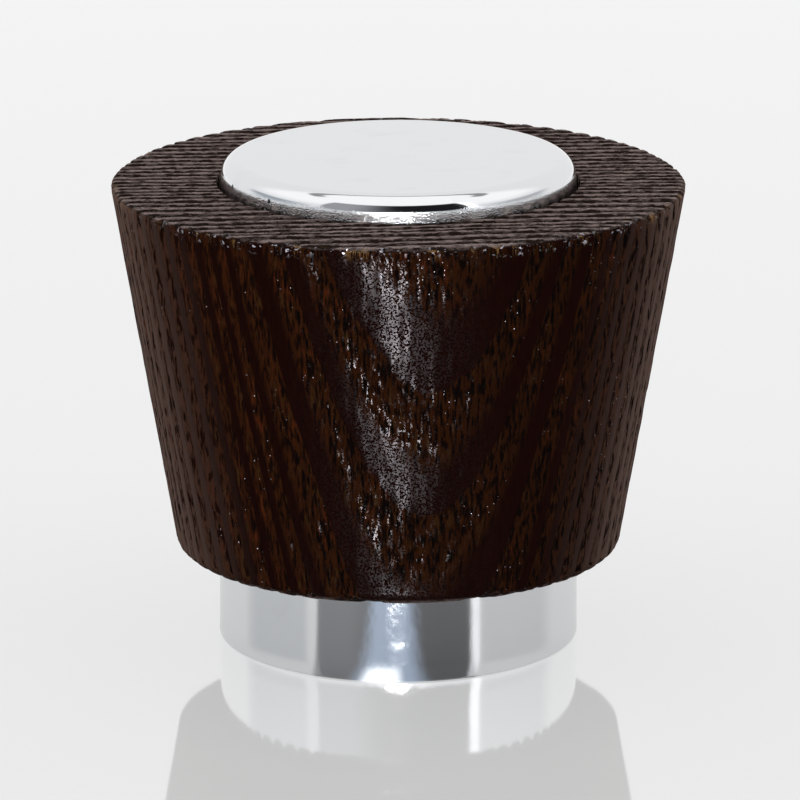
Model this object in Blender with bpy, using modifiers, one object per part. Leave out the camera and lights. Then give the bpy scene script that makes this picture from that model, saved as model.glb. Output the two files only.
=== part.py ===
"""A perfume bottle cap: a wire-brushed wooden sleeve on a drawn metal shell, with a moulded plug inside.

All lengths are in metres. The frame has +Z up and its origin at the centre of the shell's foot, the rim that comes
down on the bottle's shoulder. The front of the cap is -Y. The wood's fibres run along Z and its growth rings stand
across Y, so they show as straight rows on the end grain at the top and as nested V shapes on the tapered front.
"""

from math import ceil, cos, exp, floor, hypot, pi, radians, sin

import bmesh
import bpy
import numpy as np
from mathutils import Vector

MM = 0.001
NAME = "perfume_bottle_cap"

# The drawn shell: one inverted cup whose closed top shows above the wood and whose foot shows below it
SHELL_HEIGHT = 33.9 * MM
SHELL_FOOT_RADIUS = 12.5 * MM
SHELL_DRAFT = 0.3 * MM
SHELL_WALL = 0.6 * MM
SHELL_TOP_EDGE = 1.3 * MM
SHELL_FOOT_EDGE = 0.12 * MM

# The wooden sleeve, whose foot is a wall's thickness wider than the shell and the glue, and whose top flares out
SLEEVE_FOOT = 6.3 * MM
SLEEVE_LENGTH = 25.9 * MM
SLEEVE_WALL = 2.55 * MM
SLEEVE_FLARE = 4.4 * MM
SLEEVE_TOP_EDGE = 0.35 * MM
SLEEVE_FOOT_EDGE = 0.9 * MM
GLUE_GAP = 0.3 * MM

# Growth rings from the front to the back: where the first begins, their pitch, and where they are pushed on or
# back along Y, each with its place, shift and reach. The early wood comes first in each ring.
FIRST_RING = -19.65 * MM
RING_PITCH = 1.1 * MM
RING_SHIFTS = (
    (-19.9 * MM, -0.45 * MM, 0.8 * MM),
    (-15.2 * MM, 0.5 * MM, 1.2 * MM),
    (-5.0 * MM, 1.2 * MM, 4.5 * MM),
)
BRUSHED_DEPTH = 0.24 * MM
SOFT_DEEPEST = 0.18
SOFT_END = 0.60
RING_PARTS = (0.0, SOFT_DEEPEST, SOFT_END)

# How the rings bend: their slope from left to right, their wave, and their lean from the top down
GRAIN_SLOPE = 0.077
GRAIN_WAVE = 0.24 * MM
GRAIN_WAVE_LENGTH = 39.3 * MM
GRAIN_LEAN = 0.042

# The moulded plug, whose lower bore grips the collar of a 15 mm spray pump
PLUG_GAP = 0.3 * MM
PLUG_RECESS = 0.4 * MM
PLUG_FLANGE = 1.6 * MM
PLUG_TUBE_WALL = 1.2 * MM
PLUG_WEB = 1.4 * MM
GRIP_RADIUS = 8.5 * MM
GRIP_LENGTH = 9.5 * MM
GRIP_LEAD_IN = 0.8 * MM
CHAMBER_RADIUS = 7.9 * MM
CHAMBER_LENGTH = 14.0 * MM
FIN_COUNT = 8
FIN_THICKNESS = 1.2 * MM
GRIP_RIB_COUNT = 12
GRIP_RIB_WIDTH = 1.0 * MM
GRIP_RIB_HEIGHT = 0.3 * MM

# How finely round shapes are divided
SLEEVE_STEPS = 96
SLEEVE_ROWS = 3
SHELL_STEPS = 96
PLUG_STEPS = 48
EDGE_STEPS = 2
SHARP_ANGLE = radians(32)
MERGE = 0.01 * MM
SNAP = 0.04 * MM
PLACES_TRIED = 4000
CUTTER_EXTRA = 1.0 * MM

# Colours, roughness and metallic values
WOOD = ((0.055, 0.022, 0.012), 0.42, 0.0)
ALUMINIUM = ((0.83, 0.84, 0.86), 0.07, 1.0)
POLYPROPYLENE = ((0.80, 0.80, 0.78), 0.45, 0.0)


def cleared_scene():
    """Removes what the scene holds and returns new collections for the parts and for the cutters."""
    for obj in list(bpy.data.objects):
        bpy.data.objects.remove(obj, do_unlink=True)
    collections = []
    for name in (NAME, "cutters"):
        collection = bpy.data.collections.new(name)
        bpy.context.scene.collection.children.link(collection)
        collections.append(collection)
    return collections


def finish(name, look):
    colour, roughness, metallic = look
    material = bpy.data.materials.new(name)
    material.use_nodes = True
    shader = material.node_tree.nodes["Principled BSDF"]
    shader.inputs["Base Color"].default_value = (*colour, 1.0)
    shader.inputs["Roughness"].default_value = roughness
    shader.inputs["Metallic"].default_value = metallic
    material.diffuse_color = (*colour, 1.0)
    return material


def arc(centre_radius, centre_height, radius, start, end, steps=EDGE_STEPS):
    """Points of a profile's rounded edge, from one angle to another, both measured from the +X axis."""
    angles = [start + (end - start) * step / steps for step in range(steps + 1)]
    return [(centre_radius + radius * cos(a), centre_height + radius * sin(a)) for a in angles]


def turned(name, profile, steps, collection, closed):
    """An object whose Screw modifier turns a profile of (radius, height) points round the Z axis."""
    count = len(profile)
    edges = [(i, (i + 1) % count) for i in range(count if closed else count - 1)]
    mesh = bpy.data.meshes.new(name)
    mesh.from_pydata([(radius, 0.0, height) for radius, height in profile], edges, [])
    obj = bpy.data.objects.new(name, mesh)
    collection.objects.link(obj)
    screw = obj.modifiers.new("turning", "SCREW")
    screw.steps = steps
    screw.render_steps = steps
    screw.use_merge_vertices = True
    screw.merge_threshold = MERGE
    return obj


def with_mesh_made_real(obj):
    """Replaces the object's mesh by what its modifiers make of it, and shades it smooth between its edges."""
    graph = bpy.context.evaluated_depsgraph_get()
    mesh = bpy.data.meshes.new_from_object(obj.evaluated_get(graph))
    mesh.name = obj.name
    obj.modifiers.clear()
    obj.data = mesh
    mesh.shade_smooth()
    mesh.set_sharp_from_angle(angle=SHARP_ANGLE)
    return obj


def shell_radius(height):
    """The outer radius of the shell, which is drawn with a slight draft."""
    return SHELL_FOOT_RADIUS - SHELL_DRAFT * height / SHELL_HEIGHT


def shell_bore(height):
    return shell_radius(height) - SHELL_WALL


def sleeve_radius(height):
    """The outer radius of the sleeve's blank at a height."""
    return SHELL_FOOT_RADIUS + GLUE_GAP + SLEEVE_WALL + SLEEVE_FLARE * (height - SLEEVE_FOOT) / SLEEVE_LENGTH


def make_shell(collection):
    """The cup, as one profile from the middle of its top, down the outside, round the foot and up the inside."""
    edge_height = SHELL_HEIGHT - SHELL_TOP_EDGE
    outside = arc(shell_radius(edge_height) - SHELL_TOP_EDGE, edge_height, SHELL_TOP_EDGE, pi / 2, 0, 2 * EDGE_STEPS)
    foot_outside = arc(SHELL_FOOT_RADIUS - SHELL_FOOT_EDGE, SHELL_FOOT_EDGE, SHELL_FOOT_EDGE, 0, -pi / 2)
    foot_inside = [(SHELL_FOOT_RADIUS - SHELL_WALL, 0.0)]
    inner_edge = max(SHELL_TOP_EDGE - SHELL_WALL, MERGE)
    inside = arc(shell_bore(edge_height) - inner_edge, edge_height, inner_edge, 0, pi / 2)
    profile = [(0.0, SHELL_HEIGHT), *outside, *foot_outside, *foot_inside, *inside, (0.0, SHELL_HEIGHT - SHELL_WALL)]
    shell = turned("aluminium_shell", profile, SHELL_STEPS, collection, closed=False)
    return with_mesh_made_real(shell)


def ring_number(across):
    """How many growth rings lie in front of a place along Y, which need not be a whole number."""
    pushed = sum(shift * exp(-(((across - place) / reach) ** 2)) for place, shift, reach in RING_SHIFTS)
    return (across - FIRST_RING - pushed) / RING_PITCH


def brushed_share(number):
    """How far the brush has sunk the wood there, from 0 on hard late wood to 1 in the softest early wood."""
    return float(np.interp(number % 1.0, (*RING_PARTS, 1.0), (0.0, 1.0, 0.0, 0.0)))


def grain_bend(x, z):
    """How far a ring lies from its straight plane along Y, at a place on the sleeve."""
    wave = GRAIN_WAVE * sin(2 * pi * x / GRAIN_WAVE_LENGTH)
    return GRAIN_SLOPE * x + wave + GRAIN_LEAN * (SLEEVE_FOOT + SLEEVE_LENGTH - z)


def ring_borders():
    """The places along Y where a ring begins, where its wood is softest and where its hard wood begins."""
    radius = sleeve_radius(SLEEVE_FOOT + SLEEVE_LENGTH)
    reach = radius + abs(GRAIN_SLOPE) * radius + GRAIN_WAVE + abs(GRAIN_LEAN) * SLEEVE_LENGTH
    places = np.linspace(-reach, reach, PLACES_TRIED)
    numbers = np.array([ring_number(place) for place in places])
    wanted = [ring + part for ring in range(floor(numbers[0]), ceil(numbers[-1])) for part in RING_PARTS]
    return [float(np.interp(number, numbers, places)) for number in wanted if numbers[0] < number < numbers[-1]]


def cut_along_rings(blank, bore):
    """Adds an edge along each ring's borders, by cutting the skin with planes while its grain is held straight."""
    for vertex in blank.verts:
        vertex.co.y -= grain_bend(vertex.co.x, vertex.co.z)
    for place in ring_borders():
        skin = [face for face in blank.faces if any(hypot(*v.co.xy) > bore + SNAP for v in face.verts)]
        geometry = [*blank.verts, *blank.edges, *skin]
        bmesh.ops.bisect_plane(blank, geom=geometry, dist=SNAP, plane_co=(0, place, 0), plane_no=(0, 1, 0))
    for vertex in blank.verts:
        vertex.co.y += grain_bend(vertex.co.x, vertex.co.z)


def brush(blank, bore):
    """Sinks the soft early wood below the skin of the blank. The bore keeps its size."""
    blank.normal_update()
    moves = []
    for vertex in blank.verts:
        x, y, z = vertex.co
        inward = -vertex.normal
        if hypot(x, y) < bore + SNAP:
            inward = Vector((0.0, 0.0, inward.z))
        share = brushed_share(ring_number(y - grain_bend(x, z)))
        moves.append(inward * BRUSHED_DEPTH * share)
    for vertex, move in zip(blank.verts, moves):
        vertex.co += move


def make_sleeve(collection):
    """The sleeve: a turned and bored cone, brushed until the hard part of each growth ring stands proud."""
    top = SLEEVE_FOOT + SLEEVE_LENGTH
    bore = shell_radius(SLEEVE_FOOT) + GLUE_GAP
    top_edge = arc(sleeve_radius(top) - SLEEVE_TOP_EDGE, top - SLEEVE_TOP_EDGE, SLEEVE_TOP_EDGE, pi / 2, 0, 2)
    foot_height = SLEEVE_FOOT + SLEEVE_FOOT_EDGE
    foot_centre = sleeve_radius(foot_height) - SLEEVE_FOOT_EDGE
    foot_edge = arc(foot_centre, foot_height, SLEEVE_FOOT_EDGE, 0, -pi / 2)
    start, end = top_edge[-1], foot_edge[0]
    rows = [
        (start[0] + (end[0] - start[0]) * row / SLEEVE_ROWS, start[1] + (end[1] - start[1]) * row / SLEEVE_ROWS)
        for row in range(1, SLEEVE_ROWS)
    ]
    profile = [(bore, top), *top_edge, *rows, *foot_edge, (bore, SLEEVE_FOOT)]
    sleeve = turned("wooden_sleeve", profile, SLEEVE_STEPS, collection, closed=True)
    with_mesh_made_real(sleeve)
    blank = bmesh.new()
    blank.from_mesh(sleeve.data)
    cut_along_rings(blank, bore)
    brush(blank, bore)
    bmesh.ops.triangulate(blank, faces=blank.faces)
    blank.to_mesh(sleeve.data)
    blank.free()
    sleeve.data.set_sharp_from_angle(angle=SHARP_ANGLE)
    return sleeve


def pockets(name, count, bar, inner, outer, low, high, collection):
    """A cutter of equal pockets round the Z axis, which leaves a bar of the given width between each two."""
    shape = bmesh.new()
    steps = max(2, round(PLUG_STEPS / count))
    for index in range(count):
        middle = 2 * pi * (index + 0.5) / count
        loops = []
        for radius, order in ((inner, 1), (outer, -1)):
            half = pi / count - bar / (2 * radius)
            angles = [middle + half * (2 * step / steps - 1) for step in range(steps + 1)]
            loops += [(radius * cos(a), radius * sin(a)) for a in angles[::order]]
        floor = shape.faces.new([shape.verts.new((x, y, low)) for x, y in loops])
        walls = bmesh.ops.extrude_face_region(shape, geom=[floor])
        raised = [item for item in walls["geom"] if isinstance(item, bmesh.types.BMVert)]
        bmesh.ops.translate(shape, verts=raised, vec=(0, 0, high - low))
    bmesh.ops.recalc_face_normals(shape, faces=shape.faces)
    mesh = bpy.data.meshes.new(name)
    shape.to_mesh(mesh)
    shape.free()
    cutter = bpy.data.objects.new(name, mesh)
    cutter.hide_render = True
    cutter.display_type = "WIRE"
    collection.objects.link(cutter)
    return cutter


def make_plug(collection, cutters):
    """The plug: a flange at the mouth, a tube that grips the pump, a web that closes it and fins up to the shell."""
    top = SHELL_HEIGHT - SHELL_WALL - PLUG_GAP
    grip_end = PLUG_RECESS + GRIP_LENGTH
    chamber_end = grip_end + CHAMBER_LENGTH
    web_top = chamber_end + PLUG_WEB
    rib_radius = GRIP_RADIUS - GRIP_RIB_HEIGHT
    corner = max(SHELL_TOP_EDGE - SHELL_WALL, MERGE)
    profile = [
        (0.0, web_top),
        (CHAMBER_RADIUS, web_top),
        (CHAMBER_RADIUS, top),
        (shell_bore(top) - PLUG_GAP - corner, top),
        (shell_bore(top - corner) - PLUG_GAP, top - corner),
        (shell_bore(PLUG_RECESS) - PLUG_GAP, PLUG_RECESS),
        (rib_radius + GRIP_LEAD_IN, PLUG_RECESS),
        (rib_radius, PLUG_RECESS + GRIP_LEAD_IN),
        (rib_radius, grip_end),
        (CHAMBER_RADIUS, grip_end),
        (CHAMBER_RADIUS, chamber_end),
        (0.0, chamber_end),
    ]
    plug = turned("inner_plug", profile, PLUG_STEPS, collection, closed=False)
    flange_top = PLUG_RECESS + PLUG_FLANGE
    beyond = SHELL_FOOT_RADIUS + CUTTER_EXTRA
    cuts = (
        ("fin_pockets", FIN_COUNT, FIN_THICKNESS, GRIP_RADIUS + PLUG_TUBE_WALL, beyond, flange_top,
         top + CUTTER_EXTRA),
        ("grip_pockets", GRIP_RIB_COUNT, GRIP_RIB_WIDTH, rib_radius - CUTTER_EXTRA, GRIP_RADIUS,
         PLUG_RECESS - CUTTER_EXTRA, grip_end),
    )
    for cut in cuts:
        boolean = plug.modifiers.new(cut[0], "BOOLEAN")
        boolean.operation = "DIFFERENCE"
        boolean.object = pockets(*cut, cutters)
    return with_mesh_made_real(plug)


def main():
    parts, cutters = cleared_scene()
    frame = bpy.data.objects.new(NAME, None)
    parts.objects.link(frame)
    pieces = (
        (make_sleeve(parts), finish("stained_wood", WOOD)),
        (make_shell(parts), finish("polished_aluminium", ALUMINIUM)),
        (make_plug(parts, cutters), finish("polypropylene", POLYPROPYLENE)),
    )
    for piece, material in pieces:
        piece.data.materials.clear()
        piece.data.materials.append(material)
        piece.parent = frame


main()
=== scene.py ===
"""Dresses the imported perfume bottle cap: a brushed wooden sleeve, a polished metal shell and a plug inside.

Lengths are in metres unless a name ends in _mm. A mesh stores its places for the materials in millimetres.
+Z is up along the cap's axis and -Y is the front. An azimuth is measured round the axis from the front, and
is positive towards +X, which is the right of the picture.
"""

from __future__ import annotations

import logging
from dataclasses import dataclass, field
from enum import Enum
from math import cos, pi, radians, sin
from typing import Mapping, Sequence, Union

import bpy
import numpy as np
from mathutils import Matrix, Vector

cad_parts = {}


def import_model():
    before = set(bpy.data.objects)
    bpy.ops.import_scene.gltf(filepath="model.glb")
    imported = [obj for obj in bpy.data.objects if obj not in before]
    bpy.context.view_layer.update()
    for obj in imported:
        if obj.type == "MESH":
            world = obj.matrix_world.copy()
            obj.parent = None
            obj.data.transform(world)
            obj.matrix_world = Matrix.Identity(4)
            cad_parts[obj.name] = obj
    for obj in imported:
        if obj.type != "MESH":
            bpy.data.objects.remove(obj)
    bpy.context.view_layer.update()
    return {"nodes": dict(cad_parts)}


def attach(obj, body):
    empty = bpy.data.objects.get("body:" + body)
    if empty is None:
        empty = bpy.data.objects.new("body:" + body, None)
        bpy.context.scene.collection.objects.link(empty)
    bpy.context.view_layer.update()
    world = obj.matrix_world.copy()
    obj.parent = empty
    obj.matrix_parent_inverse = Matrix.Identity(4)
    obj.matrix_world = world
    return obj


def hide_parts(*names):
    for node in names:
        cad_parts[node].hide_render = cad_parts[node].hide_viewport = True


LOG = logging.getLogger("perfume_bottle_cap")
MM = 0.001
IN_DEGREES = 180 / pi

Colour = tuple[float, float, float]
Scale = tuple[float, float, float]
Place = tuple[float, float, float]
Fade = tuple[float, float]
Band = tuple[float, float, float]
Shift = tuple[float, float, float]
Settings = Mapping[str, Union[float, str, bool]]

BLACK: Colour = (0.0, 0.0, 0.0)


class Ray(Enum):
    """The kinds of ray to which a surface can show different things."""

    SEEN = "Is Camera Ray"
    MIRRORED = "Is Glossy Ray"
    THROUGH = "Is Transmission Ray"


class Signal:
    """One output of a shader node, with arithmetic that adds Math nodes to its tree."""

    def __init__(self, graph: Graph, socket: bpy.types.NodeSocket) -> None:
        """Wraps a socket of the graph's tree."""
        self.graph = graph
        self.socket = socket

    def _math(self, operation: str, first: Value, second: Value = 0.0) -> Signal:
        """The result of a Math node, whose second operand counts where its operation has one."""
        return self.graph.add("ShaderNodeMath", {"operation": operation}, {0: first, 1: second})

    def __add__(self, other: Value) -> Signal:
        """This signal plus another value."""
        return self._math("ADD", self, other)

    def __radd__(self, other: Value) -> Signal:
        """Another value plus this signal."""
        return self._math("ADD", other, self)

    def __sub__(self, other: Value) -> Signal:
        """This signal less another value."""
        return self._math("SUBTRACT", self, other)

    def __rsub__(self, other: Value) -> Signal:
        """Another value less this signal."""
        return self._math("SUBTRACT", other, self)

    def __mul__(self, other: Value) -> Signal:
        """This signal times another value."""
        return self._math("MULTIPLY", self, other)

    def __rmul__(self, other: Value) -> Signal:
        """Another value times this signal."""
        return self._math("MULTIPLY", other, self)

    def __mod__(self, other: Value) -> Signal:
        """What is left of this signal, from 0 up, when whole multiples of another value are taken off."""
        return self._math("FLOORED_MODULO", self, other)

    def __abs__(self) -> Signal:
        """This signal without its sign."""
        return self._math("ABSOLUTE", self)

    def larger(self, other: Value) -> Signal:
        """The larger of this signal and another value."""
        return self._math("MAXIMUM", self, other)

    def fades(self, low: float, high: float) -> Signal:
        """A smooth step from 0 at the first number to 1 at the second, which may be the lower of the two."""
        ends = {1: low, 2: high} if low < high else {1: high, 2: low, 3: 1.0, 4: 0.0}
        return self.graph.add("ShaderNodeMapRange", {"interpolation_type": "SMOOTHSTEP"}, {0: self, **ends})

    def within(self, low: float, high: float, soft: float) -> Signal:
        """1 between two values, and 0 outside them beyond a soft border."""
        return self.fades(low - soft, low) * self.fades(high + soft, high)


Value = Union[float, Sequence[float], Signal]
Inputs = Mapping[Union[int, str], Value]


class Graph:
    """The node tree of a material or a world."""

    def __init__(self, tree: bpy.types.NodeTree) -> None:
        """Wraps a tree that may already hold nodes."""
        self.tree = tree

    def feed(self, node: bpy.types.Node, inputs: Inputs) -> None:
        """Links signals to a node's sockets, or sets the sockets to plain values.

        Args:
            node: The node.
            inputs: The signal or the plain value of each socket, by its name or its place.
        """
        for key, value in inputs.items():
            if isinstance(value, Signal):
                self.tree.links.new(value.socket, node.inputs[key])
            else:
                node.inputs[key].default_value = value

    def make(self, kind: str, settings: Settings, inputs: Inputs) -> bpy.types.Node:
        """Adds any node.

        Args:
            kind: The node's type.
            settings: Its own properties, which are set first.
            inputs: The signal or the plain value of each socket that isn't left at its default.

        Returns:
            The node.
        """
        node = self.tree.nodes.new(kind)
        for name, setting in settings.items():
            setattr(node, name, setting)
        self.feed(node, inputs)
        return node

    def add(self, kind: str, settings: Settings, inputs: Inputs, output: int | str = 0) -> Signal:
        """Adds any node and wraps one of its outputs, the first if none is named."""
        return Signal(self, self.make(kind, settings, inputs).outputs[output])

    def attribute(self, name: str, output: str = "Fac") -> Signal:
        """A value or vector that the mesh stores at each of its points."""
        return self.add("ShaderNodeAttribute", {"attribute_name": name}, {}, output)

    def ray(self, kind: Ray) -> Signal:
        """1 for one kind of ray, and 0 for the others."""
        return self.add("ShaderNodeLightPath", {}, {}, kind.value)

    def parts(self, vector: Signal) -> list[Signal]:
        """The X, Y and Z of a vector."""
        node = self.make("ShaderNodeSeparateXYZ", {}, {0: vector})
        return [Signal(self, output) for output in node.outputs]

    def azimuth(self, x: Signal, y: Signal) -> Signal:
        """The azimuth of a place or a direction, in degrees."""
        return self.add("ShaderNodeMath", {"operation": "ARCTAN2"}, {0: x, 1: 0.0 - y}) * IN_DEGREES

    def scaled(self, vector: Signal, scale: Scale) -> Signal:
        """A vector with each of its parts times its own number."""
        return self.add("ShaderNodeVectorMath", {"operation": "MULTIPLY"}, {0: vector, 1: scale})

    def noise(self, vector: Signal, scale: Scale, detail: float = 2.0) -> Signal:
        """Smooth noise about 0.5, with as many features to one unit of the vector as the scale says."""
        inputs = {"Vector": self.scaled(vector, scale), "Scale": 1.0, "Detail": detail}
        return self.add("ShaderNodeTexNoise", {}, inputs)

    def cells(self, vector: Signal, scale: Scale) -> Signal:
        """The distance to the nearest of scattered points, as many to one unit as the scale says."""
        inputs = {"Vector": self.scaled(vector, scale), "Scale": 1.0}
        return self.add("ShaderNodeTexVoronoi", {}, inputs, "Distance")

    def blend(self, first: Value, second: Value, share: Value) -> Signal:
        """A colour between two, which is the second where the share is 1."""
        colours = [c if isinstance(c, Signal) else (*c, 1.0) for c in (first, second)]
        return self.add("ShaderNodeMix", {"data_type": "RGBA"}, {0: share, 6: colours[0], 7: colours[1]}, 2)

    def relief(self, height: Signal, distance: float, strength: float = 1.0) -> Signal:
        """The normal of a surface with fine bumps, of which one of height 1 stands a distance high."""
        return self.add("ShaderNodeBump", {}, {"Strength": strength, "Distance": distance, "Height": height})


@dataclass(frozen=True)
class Noise:
    """Smooth seeded noise from -1 to 1 in space, for the shapes of meshes.

    The lengths are those of one cell of the noise along each axis. It repeats after its number of cells.
    """

    seed: int
    lengths: Scale
    cells: int = 24

    def at(self, places: np.ndarray) -> np.ndarray:
        """Reads the noise.

        Args:
            places: Points, with their coordinates along the last axis.

        Returns:
            The noise at each point.
        """
        lattice = np.random.default_rng(self.seed).uniform(-1.0, 1.0, (self.cells, self.cells, self.cells))
        scaled = places / np.asarray(self.lengths)
        whole = np.floor(scaled).astype(int)
        part = scaled - whole
        part = part * part * (3.0 - 2.0 * part)
        total = np.zeros(places.shape[:-1])
        for corner in np.ndindex(2, 2, 2):
            weight = np.prod([part[..., i] if corner[i] else 1.0 - part[..., i] for i in range(3)], axis=0)
            i, j, k = ((whole[..., axis] + corner[axis]) % self.cells for axis in range(3))
            total += weight * lattice[i, j, k]
        return total


def smooth_step(low: float, high: float, values: np.ndarray) -> np.ndarray:
    """A smooth step from 0 at the first number to 1 at the second, which may be the lower of the two."""
    share = np.clip((values - low) / (high - low), 0.0, 1.0)
    return share * share * (3.0 - 2.0 * share)


@dataclass(frozen=True)
class Outline:
    """A run of points of a turned profile as (radius, height), with the outward normal at each."""

    points: np.ndarray
    normals: np.ndarray

    @staticmethod
    def line(start: tuple[float, float], end: tuple[float, float], rows: int) -> Outline:
        """A straight run, whose material is on the right of its direction.

        Args:
            start: Its first point.
            end: The point that it stops short of.
            rows: How many points it has.

        Returns:
            The run.
        """
        shares = np.arange(rows)[:, None] / rows
        first, last = np.array(start), np.array(end)
        along = (last - first) / np.linalg.norm(last - first)
        return Outline(first + (last - first) * shares, np.tile((-along[1], along[0]), (rows, 1)))

    @staticmethod
    def arc(centre: tuple[float, float], radius: float, start: float, end: float, rows: int) -> Outline:
        """A rounded edge.

        Args:
            centre: The centre of the arc.
            radius: Its radius, below 0 where the material is outside the arc.
            start: The angle of its first point, from the outward direction.
            end: The angle that it stops short of.
            rows: How many points it has.

        Returns:
            The run.
        """
        angles = start + (end - start) * np.arange(rows) / rows
        around = np.stack((np.cos(angles), np.sin(angles)), axis=1)
        return Outline(np.array(centre) + abs(radius) * around, around * np.sign(radius))

    @staticmethod
    def joined(runs: Sequence[Outline]) -> Outline:
        """One run of several that follow each other."""
        return Outline(np.concatenate([r.points for r in runs]), np.concatenate([r.normals for r in runs]))


def azimuths(columns: int) -> np.ndarray:
    """Evenly spaced angles round the axis, from the front."""
    return 2 * pi * np.arange(columns) / columns


def turned(profile: np.ndarray, angles: np.ndarray) -> np.ndarray:
    """Points of a turned shape by row and column, from rows of (radius, height) and each column's azimuth."""
    radius, height = profile[:, :1], profile[:, 1:]
    return np.stack(np.broadcast_arrays(radius * np.sin(angles), -radius * np.cos(angles), height), axis=2)


def woven_mesh(name: str, points: np.ndarray, closed: bool, sharp: float) -> bpy.types.Object:
    """Makes an object from rows and columns of points that go round the axis.

    Args:
        name: The name of the object and its mesh.
        points: An array of points by row and column.
        closed: Whether the last row joins the first. If not, one flat face closes each end.
        sharp: The angle from which an edge stays sharp.

    Returns:
        The object, linked to the scene.
    """
    rows, columns = points.shape[:2]
    index = np.arange(rows * columns).reshape(rows, columns)
    upper = index if closed else index[:-1]
    lower = np.roll(index, -1, axis=0) if closed else index[1:]
    quads = np.stack((upper, lower, np.roll(lower, -1, axis=1), np.roll(upper, -1, axis=1)), axis=2)
    faces = quads.reshape(-1, 4).tolist()
    if not closed:
        faces += [index[0].tolist(), index[-1][::-1].tolist()]
    mesh = bpy.data.meshes.new(name)
    mesh.from_pydata(points.reshape(-1, 3).tolist(), [], faces)
    mesh.shade_smooth()
    mesh.set_sharp_from_angle(angle=sharp)
    piece = bpy.data.objects.new(name, mesh)
    bpy.context.scene.collection.objects.link(piece)
    return piece


def store(piece: bpy.types.Object, name: str, values: np.ndarray) -> None:
    """Stores a value or a vector at each point of a piece's mesh, for its material to read.

    Args:
        piece: The piece.
        name: The name under which the material reads the values.
        values: A value by row and column, or a vector, with its parts along a third axis.
    """
    vector = values.ndim == 3
    layer = piece.data.attributes.new(name, "FLOAT_VECTOR" if vector else "FLOAT", "POINT")
    layer.data.foreach_set("vector" if vector else "value", values.astype(np.float32).ravel())


def new_material(name: str) -> tuple[bpy.types.Material, Graph, bpy.types.Node]:
    """Makes a material.

    Args:
        name: Its name.

    Returns:
        The material, its graph and its Principled shader.
    """
    material = bpy.data.materials.new(name)
    material.use_nodes = True
    return material, Graph(material.node_tree), material.node_tree.nodes["Principled BSDF"]


class WoodReading:
    """What the sleeve's mesh, and noises along its grain, say at each place of the wood.

    Scales are in features to a millimetre, across the grain twice and along it. The wood takes a painted
    sheen
    where its reach is great: its distance from the middle, plus TAPER times its distance below the top.
    """

    TOP_MM = 32.2
    TAPER = 0.17
    PAINTED_SIDE_SHEEN_MM: Fade = (13.0, 20.0)
    PAINTED_EDGE_SHEEN_MM: Fade = (16.5, 20.5)
    RIGHT_MM: Fade = (-1.0, 8.0)
    LEFT_MM: Fade = (-3.0, -13.0)

    def __init__(self, graph: Graph) -> None:
        """Reads ring, grain, end, torn and rim, which the sleeve stores.

        Args:
            graph: The material's graph.
        """
        self.graph = graph
        self.grain = graph.attribute("grain", "Vector")
        self.end = graph.attribute("end")
        self.torn = graph.attribute("torn")
        self.rim = graph.attribute("rim")

        ring = graph.attribute("ring") % 1.0
        begins = ring.fades(0.0, 0.03)
        self.soft = begins * ring.fades(0.72, 0.46)
        porous = begins * ring.fades(0.56, 0.26)
        vessels = graph.cells(self.grain, (4.2, 4.2, 0.60)).fades(0.42, 0.22)
        self.pores = vessels * (0.05 + 0.95 * porous)

        self.fibres = graph.noise(self.grain, (8.0, 8.0, 1.1), 3.0)
        self.streaks = graph.noise(self.grain, (4.6, 4.6, 0.75), 3.0)
        self.cloud = graph.noise(self.grain, (0.25, 0.25, 0.14))
        self.tint = graph.noise(self.grain, (3.0, 3.0, 0.60))
        self.speckle = graph.noise(self.grain, (7.5, 7.5, 7.5), 1.5)
        self.lumps = graph.noise(self.grain, (1.7, 3.4, 2.0), 3.0)

        x, _, z = graph.parts(self.grain)
        self.off_centre = abs(x)
        # Painted sheen: the reach sets how much grey stands in for the sheen of faces that turn away to the
        # sides.
        reach = self.off_centre + (self.TOP_MM - z) * self.TAPER
        self.painted_side_sheen = reach.fades(*self.PAINTED_SIDE_SHEEN_MM)
        self.painted_edge_sheen = reach.fades(*self.PAINTED_EDGE_SHEEN_MM)
        self.right = x.fades(*self.RIGHT_MM)
        self.left = x.fades(*self.LEFT_MM)


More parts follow.
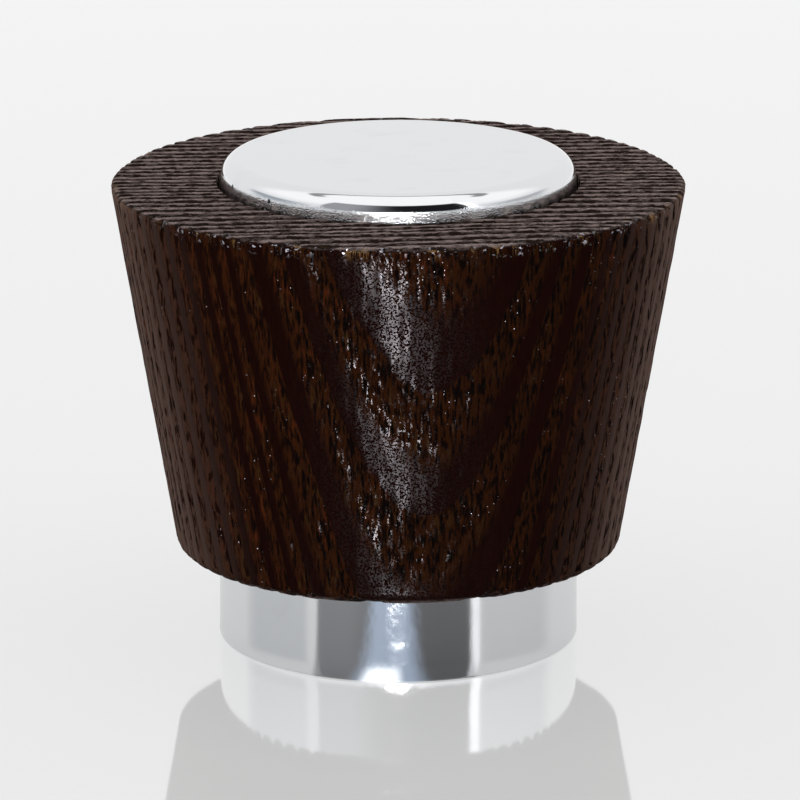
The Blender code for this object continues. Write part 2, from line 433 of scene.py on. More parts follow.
@dataclass(frozen=True)
class StainedWood:
    """Wire-brushed ring-porous wood under a dark stain.

    The hard late wood of each ring is nearly black, but a painted sheen pales its rows on the end grain.
    The soft early wood is paler, mottled and full of pores. A painted sheen greys the sides. What is left
    of the lacquer shows as a grainy gloss at the front, and as glints in the grooves and along the upper
    edge.
    """

    name: str = "stained_wood"
    late: Colour = (0.0080, 0.0011, 0.0005)
    early: Colour = (0.0290, 0.0078, 0.0018)
    # Painted sheen: the grey of the sides, and the paler grey at their outer edges.
    painted_side_sheen: Colour = (0.122, 0.075, 0.060)
    painted_edge_sheen: Colour = (0.230, 0.155, 0.130)
    shade: Colour = (0.0030, 0.0011, 0.0006)
    vessel: Colour = (0.0010, 0.0005, 0.0004)
    rust: Colour = (0.075, 0.016, 0.0040)
    ochre: Colour = (0.044, 0.021, 0.0060)
    # Painted sheen: the pale of the end grain's rows is partly the wood's colour and mostly sheen laid on as
    # colour.
    end_ridge_painted_sheen: Colour = (0.262, 0.200, 0.185)
    end_groove: Colour = (0.016, 0.010, 0.008)
    torn: Colour = (0.27, 0.15, 0.055)
    glint: Colour = (0.42, 0.42, 0.46)
    sheen: float = 0.012
    dull: float = 1.0
    gloss: float = 0.23
    lacquer_ior: float = 1.12
    lacquered_mm: Fade = (8.0, 4.5)
    bump: float = 0.06 * MM

    def soft_wood(self, wood: WoodReading) -> Signal:
        """The colour of the early wood on the flank: mottled, with ochre streaks and rusty patches, and the
        painted sheen of the sides.

        Args:
            wood: What is read of the wood.

        Returns:
            The colour.
        """
        graph = wood.graph
        # Painted sheen: the sides are blended to grey, and paler still at their outer edges.
        colour = graph.blend(self.early, self.painted_side_sheen, wood.painted_side_sheen * (0.55 - 0.15 * wood.right))
        colour = graph.blend(colour, self.painted_edge_sheen, wood.painted_edge_sheen * 0.45)
        colour = graph.blend(colour, self.shade, wood.right * (1.0 - wood.painted_side_sheen) * 0.3)
        colour = graph.blend(colour, self.shade, wood.streaks.fades(0.54, 0.38))
        ochre = wood.tint.fades(0.54, 0.66) * wood.streaks.fades(0.45, 0.60) * (0.70 - 0.45 * wood.right)
        colour = graph.blend(colour, self.ochre, ochre)
        rusty = wood.cloud.fades(0.44, 0.62) * wood.streaks.fades(0.52, 0.66) * wood.tint.fades(0.56, 0.46)
        rusty = rusty * (1.0 - 0.6 * wood.right)
        return graph.blend(colour, self.rust, rusty * 0.75 + wood.left * 0.10)

    def hard_wood(self, wood: WoodReading) -> Signal:
        """The colour of the late wood on the flank, with the painted sheen of the sides."""
        # Painted sheen: the sides are blended to grey, and paler still at their outer edges.
        colour = wood.graph.blend(self.late, self.painted_side_sheen, wood.painted_side_sheen * (0.75 - 0.15 * wood.right))
        return wood.graph.blend(colour, self.painted_edge_sheen, wood.painted_edge_sheen * 0.6)

    def end_grain(self, wood: WoodReading) -> Signal:
        """The end grain's colour: rows paled by painted sheen, broken by dark lumps, with dark grooves
        between them.

        Args:
            wood: What is read of the wood.

        Returns:
            The colour.
        """
        # Painted sheen: the rows are pale, the grooves between them dark.
        dark = wood.soft * 0.8 + wood.lumps.fades(0.58, 0.36) * 0.72
        colour = wood.graph.blend(self.end_ridge_painted_sheen, self.end_groove, dark)
        return wood.graph.blend(colour, self.end_groove, wood.fibres.fades(0.52, 0.36) * 0.4)

    def glints(self, wood: WoodReading) -> Signal:
        """Where the lacquer glints: in spots in the flank's grooves, and in beads along the upper edge.

        Args:
            wood: What is read of the wood.

        Returns:
            How much it glints, from 0 up.
        """
        spots = wood.graph.cells(wood.grain, (2.8, 2.8, 2.1)).fades(0.10, 0.06) * wood.cloud.fades(0.50, 0.60)
        beads = wood.graph.noise(wood.grain, (3.0, 3.0, 3.0), 1.0).fades(0.65, 0.69)
        sparks = (beads + wood.speckle.fades(0.66, 0.70) * 0.4) * wood.rim * (1.0 - 0.5 * wood.soft)
        sparks = sparks * (1.0 - wood.painted_side_sheen)
        return spots * wood.soft * (1.0 - wood.end) * 0.6 + sparks * 0.8

    def lacquer(self, wood: WoodReading) -> Signal:
        """Where lacquer still lies on the middle of the flank: in grains, and on strands of the soft wood.

        Args:
            wood: What is read of the wood.

        Returns:
            How much of it there is, from 0 to 1.
        """
        strands = wood.graph.noise(wood.grain, (5.5, 5.5, 1.5)).fades(0.52, 0.62)
        kept = wood.speckle.fades(0.46, 0.56) * (1.0 - wood.soft * (1.0 - strands))
        return kept * (1.0 - wood.end) * wood.off_centre.fades(*self.lacquered_mm)

    def height(self, wood: WoodReading) -> Signal:
        """The relief that is too fine for the mesh: fibres, streaks, pores, grains and lumps.

        Args:
            wood: What is read of the wood.

        Returns:
            Its height.
        """
        height = wood.fibres * (0.05 + 0.65 * wood.soft) + wood.streaks * 0.8 * wood.soft - wood.pores * 1.6
        height = height + wood.speckle * (0.40 + 0.3 * wood.soft + wood.end)
        return height + wood.lumps * (2.2 * wood.end + 1.2 * wood.painted_side_sheen)

    def material(self) -> bpy.types.Material:
        """Makes the material.

        Returns:
            The material.
        """
        material, graph, shader = new_material(self.name)
        wood = WoodReading(graph)
        flank = graph.blend(self.hard_wood(wood), self.soft_wood(wood), 0.10 + 0.90 * wood.soft)
        colour = graph.blend(flank, self.end_grain(wood), wood.end)
        colour = graph.blend(colour, self.vessel, wood.pores * 0.65)
        colour = graph.blend(colour, self.torn, wood.torn * wood.fibres.fades(0.46, 0.60))
        glints = self.glints(wood)
        graph.feed(shader, {
            "Base Color": graph.blend(colour, self.glint, glints),
            "Metallic": glints,
            "Roughness": self.dull - (self.dull - self.gloss) * glints,
            "Specular IOR Level": self.sheen,
            "Coat Weight": self.lacquer(wood),
            "Coat IOR": self.lacquer_ior,
            "Coat Roughness": self.gloss,
            "Normal": graph.relief(self.height(wood), self.bump),
        })
        return material


@dataclass(frozen=True)
class PolishedAluminium:
    """Bright aluminium, with fine orange peel on its rounded edge and faint dents in its collar.

    It reads place, peel and dents, which the shell stores.
    """

    name: str = "polished_aluminium"
    colour: Colour = (0.83, 0.84, 0.855)
    smudge: Colour = (0.77, 0.78, 0.80)
    speck: Colour = (0.06, 0.06, 0.065)
    specks_mm: tuple[Place, ...] = ((-11.26, -4.66, 32.85), (-8.70, -8.55, 32.76))
    speck_radius_mm: float = 0.13
    polish: float = 0.055
    dent_height: float = 0.9
    bump: float = 0.03 * MM

    def specked(self, graph: Graph, place: Signal, colour: Signal) -> Signal:
        """Adds the dark specks to a colour.

        Args:
            graph: The material's graph.
            place: Each place of the surface.
            colour: The colour between the specks.

        Returns:
            The colour with the specks.
        """
        for centre in self.specks_mm:
            off = graph.add("ShaderNodeVectorMath", {"operation": "DISTANCE"}, {0: place, 1: centre}, "Value")
            inside = off.fades(self.speck_radius_mm * 1.4, self.speck_radius_mm * 0.7)
            colour = graph.blend(colour, self.speck, inside)
        return colour

    def material(self) -> bpy.types.Material:
        """Makes the material.

        Returns:
            The material.
        """
        material, graph, shader = new_material(self.name)
        place = graph.attribute("place", "Vector")
        peel = graph.attribute("peel")
        dents = graph.attribute("dents")
        lines = graph.noise(place, (0.6, 0.6, 9.0), 3.0)
        grime = graph.noise(place, (0.35, 0.35, 0.35), 4.0)
        pebbles = graph.noise(place, (10.0, 10.0, 10.0), 1.5)
        ripple = graph.noise(place, (0.85, 0.85, 0.60))
        colour = graph.blend(self.colour, self.smudge, grime.fades(0.55, 0.75) * 0.5)
        graph.feed(shader, {
            "Base Color": self.specked(graph, place, colour),
            "Metallic": 1.0,
            "Roughness": self.polish + 0.05 * lines + 0.03 * grime.fades(0.5, 0.8) + 0.08 * peel,
            "Normal": graph.relief(pebbles * peel + ripple * self.dent_height * dents, self.bump),
        })
        return material


@dataclass(frozen=True)
class NaturalPlastic:
    """Polypropylene as it leaves the mould: milky, with a fine spark-eroded texture and faint flow lines.

    Its scales are in features to a metre.
    """

    name: str = "polypropylene"
    colour: Colour = (0.76, 0.76, 0.73)
    thick: Colour = (0.68, 0.68, 0.64)
    milkiness: float = 0.25
    light_reach: Scale = (1.2 * MM, 1.1 * MM, 1.0 * MM)
    flow_scale: Scale = (260.0, 260.0, 90.0)
    texture_scale: Scale = (7000.0, 7000.0, 7000.0)
    bump: float = 0.01 * MM
    bump_strength: float = 0.6

    def material(self) -> bpy.types.Material:
        """Makes the material.

        Returns:
            The material.
        """
        material, graph, shader = new_material(self.name)
        place = graph.add("ShaderNodeTexCoord", {}, {}, "Object")
        flow = graph.noise(place, self.flow_scale, 3.0)
        texture = graph.noise(place, self.texture_scale)
        graph.feed(shader, {
            "Base Color": graph.blend(self.colour, self.thick, flow.fades(0.40, 0.65)),
            "Roughness": 0.38 + 0.16 * texture + 0.06 * flow,
            "Subsurface Weight": self.milkiness,
            "Subsurface Radius": self.light_reach,
            "Subsurface Scale": 1.0,
            "Normal": graph.relief(texture + flow, self.bump, self.bump_strength),
        })
        return material


@dataclass(frozen=True)
class RingLaw:
    """Where the growth rings of the sleeve lie, from the front to the back, as in the part's source.

    Each shift is a place along Y, how far the rings are pushed there and over what length.
    """

    first: float = -19.65 * MM
    pitch: float = 1.1 * MM
    shifts: tuple[Shift, ...] = (
        (-19.9 * MM, -0.45 * MM, 0.8 * MM), (-15.2 * MM, 0.5 * MM, 1.2 * MM), (-5.0 * MM, 1.2 * MM, 4.5 * MM))
    slope: float = 0.077
    wave: float = 0.24 * MM
    wave_length: float = 39.3 * MM
    lean: float = 0.042

    def bend(self, x: np.ndarray, below_top: np.ndarray) -> np.ndarray:
        """How far a ring lies from its straight plane along Y, at a place and a distance below the top."""
        return self.slope * x + self.wave * np.sin(2 * pi * x / self.wave_length) + self.lean * below_top

    def number(self, across: np.ndarray) -> np.ndarray:
        """How many rings lie in front of a place along Y. Each begins, at a whole number, with early wood."""
        pushed = sum(push * np.exp(-(((across - place) / reach) ** 2)) for place, push, reach in self.shifts)
        return (across - self.first - pushed) / self.pitch


@dataclass
class Sleeve:
    """The wooden sleeve: a turned cone, brushed until the hard part of each growth ring stands proud.

    Its bore narrows to the top, which keeps the dark gap round the shell's disc fine. Shares are of the depth
    of the grooves. The rows are those of the mesh along each run of the profile.
    """

    foot: float = 6.3 * MM
    length: float = 25.9 * MM
    top_radius: float = 19.75 * MM
    foot_radius: float = 15.35 * MM
    bore: float = 12.744 * MM
    bore_at_top: float = 12.52 * MM
    top_edge: float = 0.35 * MM
    foot_edge: float = 0.9 * MM

    depth: float = 0.24 * MM
    deepest_share: float = 1.5
    wear_share: float = 0.72
    wear_change: float = 0.30
    wear: Noise = Noise(11, (2.2 * MM, 1.1 * MM, 5.0 * MM))
    broken_share: float = 0.75
    breaks: Noise = Noise(18, (0.9 * MM, 0.9 * MM, 3.2 * MM))
    tooth_share: float = 0.55
    scallop_share: float = 1.1
    ragged_share: float = 0.26
    flank_ragged_share: float = 0.22
    strands: Noise = Noise(12, (0.40 * MM, 0.40 * MM, 1.5 * MM))
    pit_share: float = 0.34
    pits: Noise = Noise(17, (0.3 * MM, 0.3 * MM, 1.2 * MM))
    crown_share: float = 0.12
    crown: Noise = Noise(13, (1.3 * MM, 0.6 * MM, 4.0 * MM))
    torn_depth: float = 0.16 * MM
    bits: Noise = Noise(14, (0.55 * MM, 0.5 * MM, 1.5 * MM))

    slow_waver: float = 0.045 * MM
    slow: Noise = Noise(15, (2.6 * MM, 1.6 * MM, 9.0 * MM))
    quick_waver: float = 0.035 * MM
    quick: Noise = Noise(16, (0.8 * MM, 0.8 * MM, 4.0 * MM))
    swerve: float = 0.22 * MM
    swerve_height: float = 27.5 * MM
    swerve_width: float = 3.5 * MM
    swerve_tall: float = 4.5 * MM

    top_rows: int = 48
    top_edge_rows: int = 5
    flank_rows: int = 40
    foot_edge_rows: int = 6
    bottom_rows: int = 6
    bore_rows: int = 2
    columns: int = 920
    sharp: float = radians(70)
    rings: RingLaw = field(default_factory=RingLaw)
    finish: StainedWood = field(default_factory=StainedWood)

    @property
    def top(self) -> float:
        """The height of the top face."""
        return self.foot + self.length

    def outline(self) -> Outline:
        """The profile of the blank.

        Returns:
            One closed run that starts at the bore on the top face.
        """
        slope = (self.top_radius - self.foot_radius) / self.length
        shoulder = self.top_radius - self.top_edge
        foot_centre = self.foot_radius + slope * self.foot_edge - self.foot_edge
        foot_height = self.foot + self.foot_edge
        flank = ((self.top_radius, self.top - self.top_edge), (foot_centre + self.foot_edge, foot_height))
        return Outline.joined((
            Outline.line((self.bore_at_top, self.top), (shoulder, self.top), self.top_rows),
            Outline.arc((shoulder, self.top - self.top_edge), self.top_edge, pi / 2, 0.0, self.top_edge_rows),
            Outline.line(*flank, self.flank_rows),
            Outline.arc((foot_centre, foot_height), self.foot_edge, 0.0, -pi / 2, self.foot_edge_rows),
            Outline.line((foot_centre, self.foot), (self.bore, self.foot), self.bottom_rows),
            Outline.line((self.bore, self.foot), (self.bore_at_top, self.top), self.bore_rows),
        ))

    def on_flank(self, outline: Outline) -> np.ndarray:
        """How far each row of points lies within the flank, from 0 to 1, fading out towards both rims.

        Args:
            outline: The profile of the blank.

        Returns:
            One value for each row.
        """
        radius, height = outline.points.T
        outside = smooth_step(self.foot_radius - 1.0 * MM, self.foot_radius, radius)
        below_top = smooth_step(self.top, self.top - 4.0 * MM, height)
        return outside * below_top * smooth_step(self.foot, self.foot + 3.0 * MM, height)

    def rim_wear(self, outline: Outline) -> np.ndarray:
        """How much deeper the brush cuts at the rims, into teeth at the top and scallops at the foot.

        Args:
            outline: The profile of the blank.

        Returns:
            One factor for each row.
        """
        radius, height = outline.points.T
        toothed = smooth_step(self.top_radius - 1.2 * MM, self.top_radius - 0.2 * MM, radius)
        toothed = toothed * smooth_step(self.top - 2.5 * MM, self.top - 0.3 * MM, height)
        scalloped = smooth_step(self.foot + 1.6 * MM, self.foot + 0.2 * MM, height)
        scalloped = scalloped * smooth_step(self.foot_radius - 2.9 * MM, self.foot_radius - 2.0 * MM, radius)
        return 1.0 + self.tooth_share * toothed + self.scallop_share * scalloped

    def sunk(self, outline: Outline, number: np.ndarray, places: np.ndarray) -> np.ndarray:
        """How far the brush has sunk the wood, which is most in the soft part of each ring.

        Args:
            outline: The profile of the blank.
            number: The ring number at each point.
            places: The points.

        Returns:
            The depth at each point.
        """
        part = number % 1.0
        groove = smooth_step(0.0, 0.14, part) * smooth_step(0.64, 0.18, part)
        flank = self.on_flank(outline)[:, None]
        broken = smooth_step(-0.35, 0.45, self.breaks.at(places))
        worn = (1.0 + self.wear_change * self.wear.at(places)) * self.wear_share
        worn = worn * (1.0 - flank * (1.0 - self.broken_share * broken)) * self.rim_wear(outline)[:, None]
        ragged = (self.ragged_share + self.flank_ragged_share * flank) * (0.14 + 0.86 * groove)
        ragged = ragged * self.strands.at(places)
        pitted = self.pit_share * (0.12 + 0.88 * groove) * np.maximum(self.pits.at(places), 0.0)
        crown = self.crown_share * (1.0 + self.crown.at(places))
        return self.depth * np.clip(groove * worn + ragged + pitted + crown, 0.0, self.deepest_share)

    def torn(self, outline: Outline, places: np.ndarray) -> np.ndarray:
        """Where the brush has torn bits off the upper edge.

        Args:
            outline: The profile of the blank.
            places: The points.

        Returns:
            A value from 0 to 1 at each point.
        """
        radius, height = outline.points.T
        near = smooth_step(0.6 * MM, 0.1 * MM, self.top - height)
        near = near * smooth_step(self.top_radius - 0.6 * MM, self.top_radius - 0.2 * MM, radius)
        return near[:, None] * smooth_step(0.30, 0.60, self.bits.at(places))

    def rim(self, outline: Outline) -> np.ndarray:
        """How close each row of points is to the sharp upper edge, from 0 to 1."""
        radius, height = outline.points.T
        return smooth_step(1.0 * MM, 0.3 * MM, np.hypot(self.top_radius - radius, self.top - height))

    def waver(self, places: np.ndarray) -> np.ndarray:
        """How far the grain strays along Y from the law of the rings, with a swerve at the front's top.

        Args:
            places: The points.

        Returns:
            The distance at each point.
        """
        x, _, z = np.moveaxis(places, 2, 0)
        waver = self.slow_waver * self.slow.at(places)
        waver += self.quick_waver * self.quick.at(places)
        sideways = (x / self.swerve_width) ** 2
        upwards = ((z - self.swerve_height) / self.swerve_tall) ** 2
        return waver + self.swerve * np.exp(-sideways - upwards)

    def build(self) -> bpy.types.Object:
        """Makes the piece in place of its solid.

        Returns:
            The sleeve's object.
        """
        outline = self.outline()
        angles = azimuths(self.columns)
        blank = turned(outline.points, angles)
        normals = turned(outline.normals, angles)
        x, y, z = np.moveaxis(blank, 2, 0)
        across = y - self.rings.bend(x, self.top - z) + self.waver(blank)
        number = self.rings.number(across)
        torn = self.torn(outline, blank)
        depth = self.sunk(outline, number, blank) + self.torn_depth * torn
        first_bore = len(outline.points) - self.bore_rows
        normals[first_bore] = (0.0, 0.0, -1.0)
        depth[first_bore + 1:] = 0.0
        sleeve = woven_mesh("wooden_sleeve_brushed", blank - normals * depth[..., None], True, self.sharp)
        store(sleeve, "ring", number)
        store(sleeve, "grain", np.stack((x, across, z), axis=2) / MM)
        end = smooth_step(0.55, 0.95, np.abs(outline.normals[:, 1]))
        store(sleeve, "end", np.broadcast_to(end[:, None], number.shape))
        store(sleeve, "torn", torn)
        store(sleeve, "rim", np.broadcast_to(self.rim(outline)[:, None], number.shape))
        sleeve.data.materials.append(self.finish.material())
        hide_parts("wooden_sleeve")
        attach(sleeve, "root")
        return sleeve


@dataclass
class Shell:
    """The drawn metal cup, whose closed top shows above the wood and whose foot shows below it.

    The rows are those of the mesh along each run of the profile.
    """

    height: float = 33.9 * MM
    foot_radius: float = 12.5 * MM
    draft: float = 0.3 * MM
    wall: float = 0.6 * MM
    top_edge: float = 1.3 * MM
    foot_edge: float = 0.12 * MM
    wood_top: float = 32.2 * MM
    peel_below_top: Fade = (0.90 * MM, 1.08 * MM)
    dented_half: Fade = (radians(25.0), radians(12.0))

    top_edge_rows: int = 24
    side_rows: int = 30
    foot_edge_rows: int = 4
    foot_rows: int = 2
    inside_rows: int = 6
    columns: int = 288
    sharp: float = radians(40)
    finish: PolishedAluminium = field(default_factory=PolishedAluminium)

    def outline(self) -> Outline:
        """The profile.

        Returns:
            One run from the flat of the top down the outside, round the foot and up the inside.
        """
        shoulder = self.height - self.top_edge
        inner_edge = self.top_edge - self.wall
        outer = self.foot_radius - self.draft * shoulder / self.height
        inner = outer - self.wall
        flat = inner - inner_edge
        lip = self.foot_radius - self.foot_edge
        bore = self.foot_radius - self.wall
        return Outline.joined((
            Outline.arc((outer - self.top_edge, shoulder), self.top_edge, pi / 2, 0.0, self.top_edge_rows),
            Outline.line((outer, shoulder), (self.foot_radius, self.foot_edge), self.side_rows),
            Outline.arc((lip, self.foot_edge), self.foot_edge, 0.0, -pi / 2, self.foot_edge_rows),
            Outline.line((lip, 0.0), (bore, 0.0), self.foot_rows),
            Outline.line((bore, 0.0), (inner, shoulder), self.inside_rows),
            Outline.arc((flat, shoulder), -inner_edge, 0.0, pi / 2, self.inside_rows),
            Outline.line((flat, self.height - self.wall), (flat - inner_edge, shoulder), 1),
        ))

    def build(self) -> bpy.types.Object:
        """Makes the piece in place of its solid.

        Returns:
            The shell's object.
        """
        points = turned(self.outline().points, azimuths(self.columns))
        shell = woven_mesh("aluminium_shell_polished", points, False, self.sharp)
        x, y, height = np.moveaxis(points, 2, 0)
        from_top, to_side = self.peel_below_top
        edge = smooth_step(self.height - from_top, self.height - to_side, height)
        collar = smooth_step(self.wood_top, self.wood_top - 2.0 * MM, height)
        middle = smooth_step(*self.dented_half, np.abs(np.arctan2(x, -y)))
        store(shell, "place", points / MM)
        store(shell, "peel", edge * (1.0 - 0.95 * collar))
        store(shell, "dents", collar * middle)
        shell.data.materials.append(self.finish.material())
        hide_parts("aluminium_shell")
        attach(shell, "root")
        return shell


@dataclass
class Plug:
    """The moulded plug inside the shell, which keeps its solid's shape."""

    node: bpy.types.Object
    finish: NaturalPlastic = field(default_factory=NaturalPlastic)

    def build(self) -> bpy.types.Object:
        """Dresses the solid.

        Returns:
            The plug's object.
        """
        self.node.data.materials.clear()
        self.node.data.materials.append(self.finish.material())
        return self.node


@dataclass(frozen=True)
class Table:
    """A glossy white table, which a camera below it sees through.

    The camera sees it glow evenly. For mirrored and transmitted rays alone it glows with a painted
    reflection:
    pale, but dark in a wedge in front, with a bluish patch, and a painted hot spot at the foot of the cap.
    Under the cap a painted glow lights the plug, though no lamp is there. Bands are azimuths in degrees, as
    from, to and soft border. Each reach is two distances from the axis: where a patch is gone, and where it
    is whole.
    """

    half: float = 1.6
    albedo: float = 0.25
    roughness: float = 0.05
    ior: float = 2.6
    seen_glow: float = 0.42
    cap_radius: float = 12.5 * MM
    wedge_right: float = radians(47.5)
    wedge_left: float = radians(52.5)
    wedge_soft: float = 0.6 * MM
    # Painted reflection: the glows that the metal mirrors of the table.
    pale: Colour = (0.30, 0.30, 0.30)
    bluish: Colour = (0.26, 0.33, 0.44)
    bluish_band: Band = (-9.0, 3.0, 9.0)
    bluish_reach: Fade = (0.07, 0.05)
    hot: Colour = (1.6, 1.65, 1.7)
    hot_band: Band = (-8.0, -3.0, 6.0)
    hot_reach: Fade = (17.5 * MM, 13.0 * MM)
    # Painted glow under the cap, though no lamp is there.
    under: Colour = (0.8, 0.8, 0.8)
    under_reach: Fade = (11.5 * MM, 11.0 * MM)

    def mirrored(self, graph: Graph, x: Signal, y: Signal, away: Signal) -> Signal:
        """The painted reflection that the polished metal mirrors of the table.

        Args:
            graph: The material's graph.
            x: The places from left to right.
            y: The places from front to back.
            away: Their distances from the axis.

        Returns:
            The glow.
        """
        # Painted reflection: a dark wedge in front and a bluish patch, seen only in mirrors.
        right, left = (
            x * (side * cos(turn)) + y * sin(turn) + self.cap_radius * sin(turn / 2)
            for side, turn in ((1.0, self.wedge_right), (-1.0, self.wedge_left)))
        azimuth = graph.azimuth(x, y)
        glow = graph.blend(BLACK, self.pale, right.larger(left).fades(0.0, self.wedge_soft))
        bluish = azimuth.within(*self.bluish_band) * away.fades(*self.bluish_reach)
        glow = graph.blend(glow, self.bluish, bluish)
        # Painted hot spot, which the metal shows at its foot.
        return graph.blend(glow, self.hot, azimuth.within(*self.hot_band) * away.fades(*self.hot_reach))

    def material(self) -> bpy.types.Material:
        """Makes the table's material.

        Returns:
            The material.
        """
        material, graph, shader = new_material("glossy_white_table")
        seen = graph.ray(Ray.SEEN)
        x, y, _ = graph.parts(graph.add("ShaderNodeNewGeometry", {}, {}, "Position"))
        flat = graph.add("ShaderNodeCombineXYZ", {}, {0: x, 1: y})
        away = graph.add("ShaderNodeVectorMath", {"operation": "LENGTH"}, {0: flat}, "Value")
        mirrored = graph.ray(Ray.MIRRORED) + graph.ray(Ray.THROUGH)
        glow = graph.blend(BLACK, self.mirrored(graph, x, y, away), mirrored)
        # Painted glow under the cap, which lights the plug though no lamp is there.
        glow = graph.blend(glow, self.under, away.fades(*self.under_reach))
        graph.feed(shader, {
            "Base Color": (*(self.albedo,) * 3, 1.0),
            "Roughness": self.roughness,
            "IOR": self.ior,
            "Emission Color": graph.blend(glow, (self.seen_glow,) * 3, seen),
            "Emission Strength": 1.0,
        })
        below = graph.add("ShaderNodeNewGeometry", {}, {}, "Backfacing")
        body = Signal(graph, shader.outputs[0])
        clear = graph.add("ShaderNodeBsdfTransparent", {}, {})
        mixed = graph.add("ShaderNodeMixShader", {}, {0: below * seen, 1: body, 2: clear})
        graph.feed(material.node_tree.nodes["Material Output"], {"Surface": mixed})
        return material

    def build(self) -> None:
        """Lays the table."""
        corners = [(x * self.half, y * self.half, 0) for x, y in ((-1, -1), (1, -1), (1, 1), (-1, 1))]
        mesh = bpy.data.meshes.new("table")
        mesh.from_pydata(corners, [], [(0, 1, 2, 3)])
        table = bpy.data.objects.new("table", mesh)
        bpy.context.scene.collection.objects.link(table)
        mesh.materials.append(self.material())


@dataclass(frozen=True)
class Room:
    """The room, painted by direction.

    It is pale all round, with grey panels at both sides and a grey line high behind. The front is dark from
    about 10 to 48 degrees up, with a bright window below that and a white strip at its right. The camera sees
    a plain pale background instead, and so do mirrored rays that leave to the back below 60 degrees. Bands
    are azimuths or heights in degrees, as from, to and soft border. Fades are from and to.
    """

    background: float = 0.88
    low: Band = (13.0, 18.0, 4.0)
    front: Band = (-52.0, 47.5, 1.5)
    front_top: Fade = (50.0, 46.0)
    window: Band = (-10.0, 14.0, 12.0)
    window_top: Fade = (9.0, 12.0)
    near: Colour = (0.90, 0.92, 0.95)
    bright: Colour = (1.40, 1.42, 1.45)
    dusk: Colour = (0.34, 0.35, 0.37)
    night: Colour = (0.01, 0.01, 0.012)
    nightfall: Fade = (-35.0, 0.0)
    wall: Colour = (0.85, 0.86, 0.87)
    ceiling: Colour = (1.10, 1.10, 1.10)
    ceiling_rise: Fade = (18.0, 40.0)
    left_panel: Colour = (0.38, 0.41, 0.45)
    left_band: Band = (-112.0, -64.0, 6.0)
    right_panel: Colour = (0.48, 0.49, 0.51)
    right_band: Band = (58.0, 118.0, 6.0)
    line: Colour = (0.30, 0.30, 0.31)
    line_band: Band = (60.0, 64.0, 1.5)
    strip: Colour = (1.9, 1.93, 1.97)
    strip_band: Band = (48.0, 53.0, 1.0)

    def light(self, graph: Graph, azimuth: Signal, height: Signal, y: Signal) -> Signal:
        """The colour that the room throws on the cap.

        Args:
            graph: The world's graph.
            azimuth: The azimuth of each direction, in degrees.
            height: Its elevation, in degrees.
            y: How far it points to the back, from -1 to 1.

        Returns:
            The colour.
        """
        low = height.within(*self.low)
        front_height = height.fades(*self.front_top)
        front = graph.blend(self.near, self.bright, azimuth.within(*self.window))
        dark = graph.blend(self.dusk, self.night, azimuth.fades(*self.nightfall))
        front = graph.blend(front, dark, height.fades(*self.window_top))
        pale = graph.blend(self.wall, self.ceiling, height.fades(*self.ceiling_rise))
        pale = graph.blend(pale, self.left_panel, azimuth.within(*self.left_band) * low)
        pale = graph.blend(pale, self.right_panel, azimuth.within(*self.right_band) * low)
        pale = graph.blend(pale, self.line, height.within(*self.line_band) * y.fades(0.0, 0.1))
        colour = graph.blend(pale, front, azimuth.within(*self.front) * front_height)
        return graph.blend(colour, self.strip, azimuth.within(*self.strip_band) * front_height)

    def build(self) -> None:
        """Paints the room."""
        world = bpy.data.worlds.new("room")
        bpy.context.scene.world = world
        world.use_nodes = True
        graph = Graph(world.node_tree)
        x, y, z = graph.parts(graph.add("ShaderNodeTexCoord", {}, {}, "Generated"))
        azimuth = graph.azimuth(x, y)
        height = graph.add("ShaderNodeMath", {"operation": "ARCSINE"}, {0: z}) * IN_DEGREES
        colour = self.light(graph, azimuth, height, y)
        lit = graph.add("ShaderNodeBackground", {}, {"Color": colour, "Strength": 1.0})
        backdrop = {"Color": (*(self.background,) * 3, 1.0), "Strength": 1.0}
        plain = graph.add("ShaderNodeBackground", {}, backdrop)
        behind = y.fades(0.2, 0.5) * (1.0 - height.fades(55.0, 60.0))
        share = graph.ray(Ray.SEEN) + (graph.ray(Ray.MIRRORED) + graph.ray(Ray.THROUGH)) * behind
        mixed = graph.add("ShaderNodeMixShader", {}, {0: share, 1: lit, 2: plain})
        output = next(n for n in world.node_tree.nodes if n.type == "OUTPUT_WORLD")
        graph.feed(output, {"Surface": mixed})


@dataclass(frozen=True)
class Lamp:
    """A soft lamp that looks at the middle of the cap. Its rise and turn are its elevation and azimuth."""

    name: str
    rise: float
    turn: float
    distance: float
    size: tuple[float, float]
    watts: float
    colour: Colour = (1.0, 1.0, 1.0)
    target_height: float = 18.0 * MM

    def hang(self) -> bpy.types.Object:
        """Hangs the lamp.

        Returns:
            Its object.
        """
        data = bpy.data.lights.new(self.name, "AREA")
        data.shape = "RECTANGLE"
        data.size, data.size_y = self.size
        data.energy = self.watts
        data.color = self.colour
        lamp = bpy.data.objects.new(self.name, data)
        bpy.context.scene.collection.objects.link(lamp)
        away = Vector((sin(self.turn) * cos(self.rise), -cos(self.turn) * cos(self.rise), sin(self.rise)))
        lamp.location = Vector((0.0, 0.0, self.target_height)) + away * self.distance
        lamp.rotation_euler = away.to_track_quat("Z", "Y").to_euler()
        lamp.visible_camera = False
        return lamp


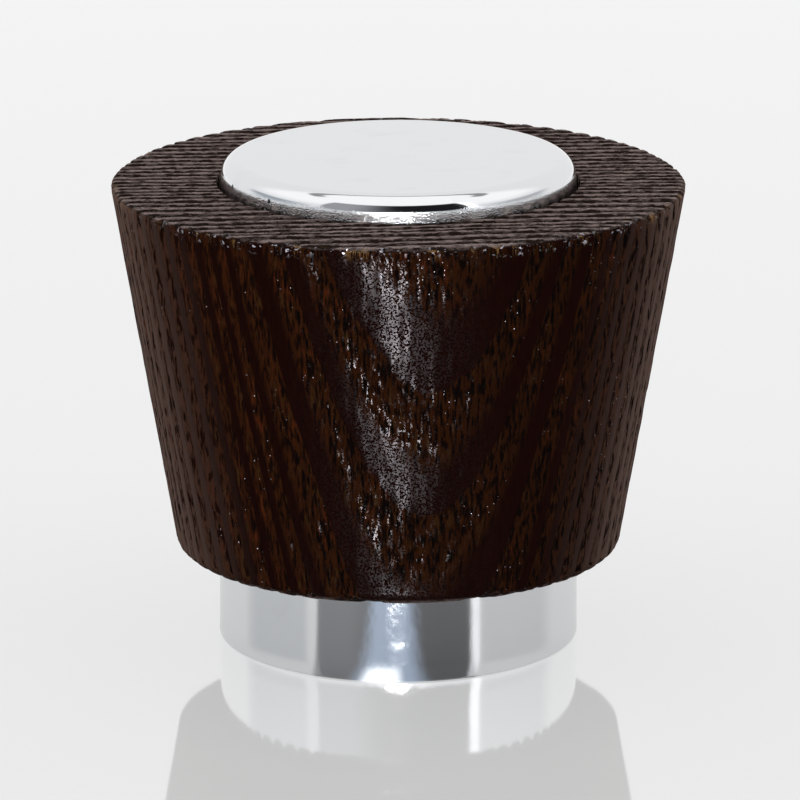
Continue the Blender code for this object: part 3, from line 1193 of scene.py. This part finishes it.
@dataclass
class Studio:
    """A table in a pale room, with a low lamp in front and a camera at the photograph's viewing angle."""

    lens_mm: float = 270.0
    sensor_mm: float = 36.0
    distance: float = 0.4165
    elevation: float = radians(15.51)
    target: Place = (0.119 * MM, 0.0, 16.495 * MM)
    table: Table = Table()
    room: Room = Room()
    lamp: Lamp = Lamp("lamp", radians(7.0), radians(-1.0), 0.40, (0.08, 0.05), 0.50)
    table_lamp: Lamp = Lamp(
        "lamp_in_the_table", radians(-24.0), radians(-1.5), 0.35, (0.032, 0.08), 5.0, (1.0, 0.93, 0.99))

    def camera(self) -> None:
        """Places the camera where the photograph was taken from."""
        data = bpy.data.cameras.new("camera")
        data.lens = self.lens_mm
        data.sensor_width = self.sensor_mm
        data.clip_start, data.clip_end = 0.01, 20.0
        camera = bpy.data.objects.new("camera", data)
        bpy.context.scene.collection.objects.link(camera)
        back = Vector((0.0, -cos(self.elevation), sin(self.elevation)))
        camera.location = Vector(self.target) + back * self.distance
        camera.rotation_euler = (-back).to_track_quat("-Z", "Y").to_euler()
        bpy.context.scene.camera = camera

    def gleam(self, wood: bpy.types.Object) -> None:
        """Draws a bright strip down the wood alone, by a lamp that stands for the low lamp's mirror image.

        Args:
            wood: The piece that the gleam lights.
        """
        lamp = self.table_lamp.hang()
        lamp.visible_diffuse = False
        lit = bpy.data.collections.new("lit_by_the_gleam")
        lit.objects.link(wood)
        lamp.light_linking.receiver_collection = lit
        lamp.light_linking.blocker_collection = lit

    def build(self, wood: bpy.types.Object) -> None:
        """Sets up the whole studio.

        Args:
            wood: The piece that the gleam lights.
        """
        self.camera()
        self.table.build()
        self.room.build()
        self.lamp.hang()
        bpy.context.scene.view_settings.view_transform = "Standard"
        self.gleam(wood)


def plain(box: Sequence[Vector]) -> list[list[float]]:
    """The corners of a box as lists of numbers."""
    return [list(corner) for corner in box]


def main() -> None:
    """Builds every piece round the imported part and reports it."""
    logging.basicConfig(level=logging.INFO, format="%(message)s")
    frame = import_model()
    assemblies = (Sleeve(), Shell(), Plug(frame["nodes"]["inner_plug"]))
    pieces = [assembly.build() for assembly in assemblies]
    for piece in pieces:
        LOG.info("%s: %d faces", piece.name, len(piece.data.polygons))
    Studio().build(pieces[0])


if __name__ == "__main__":
    main()
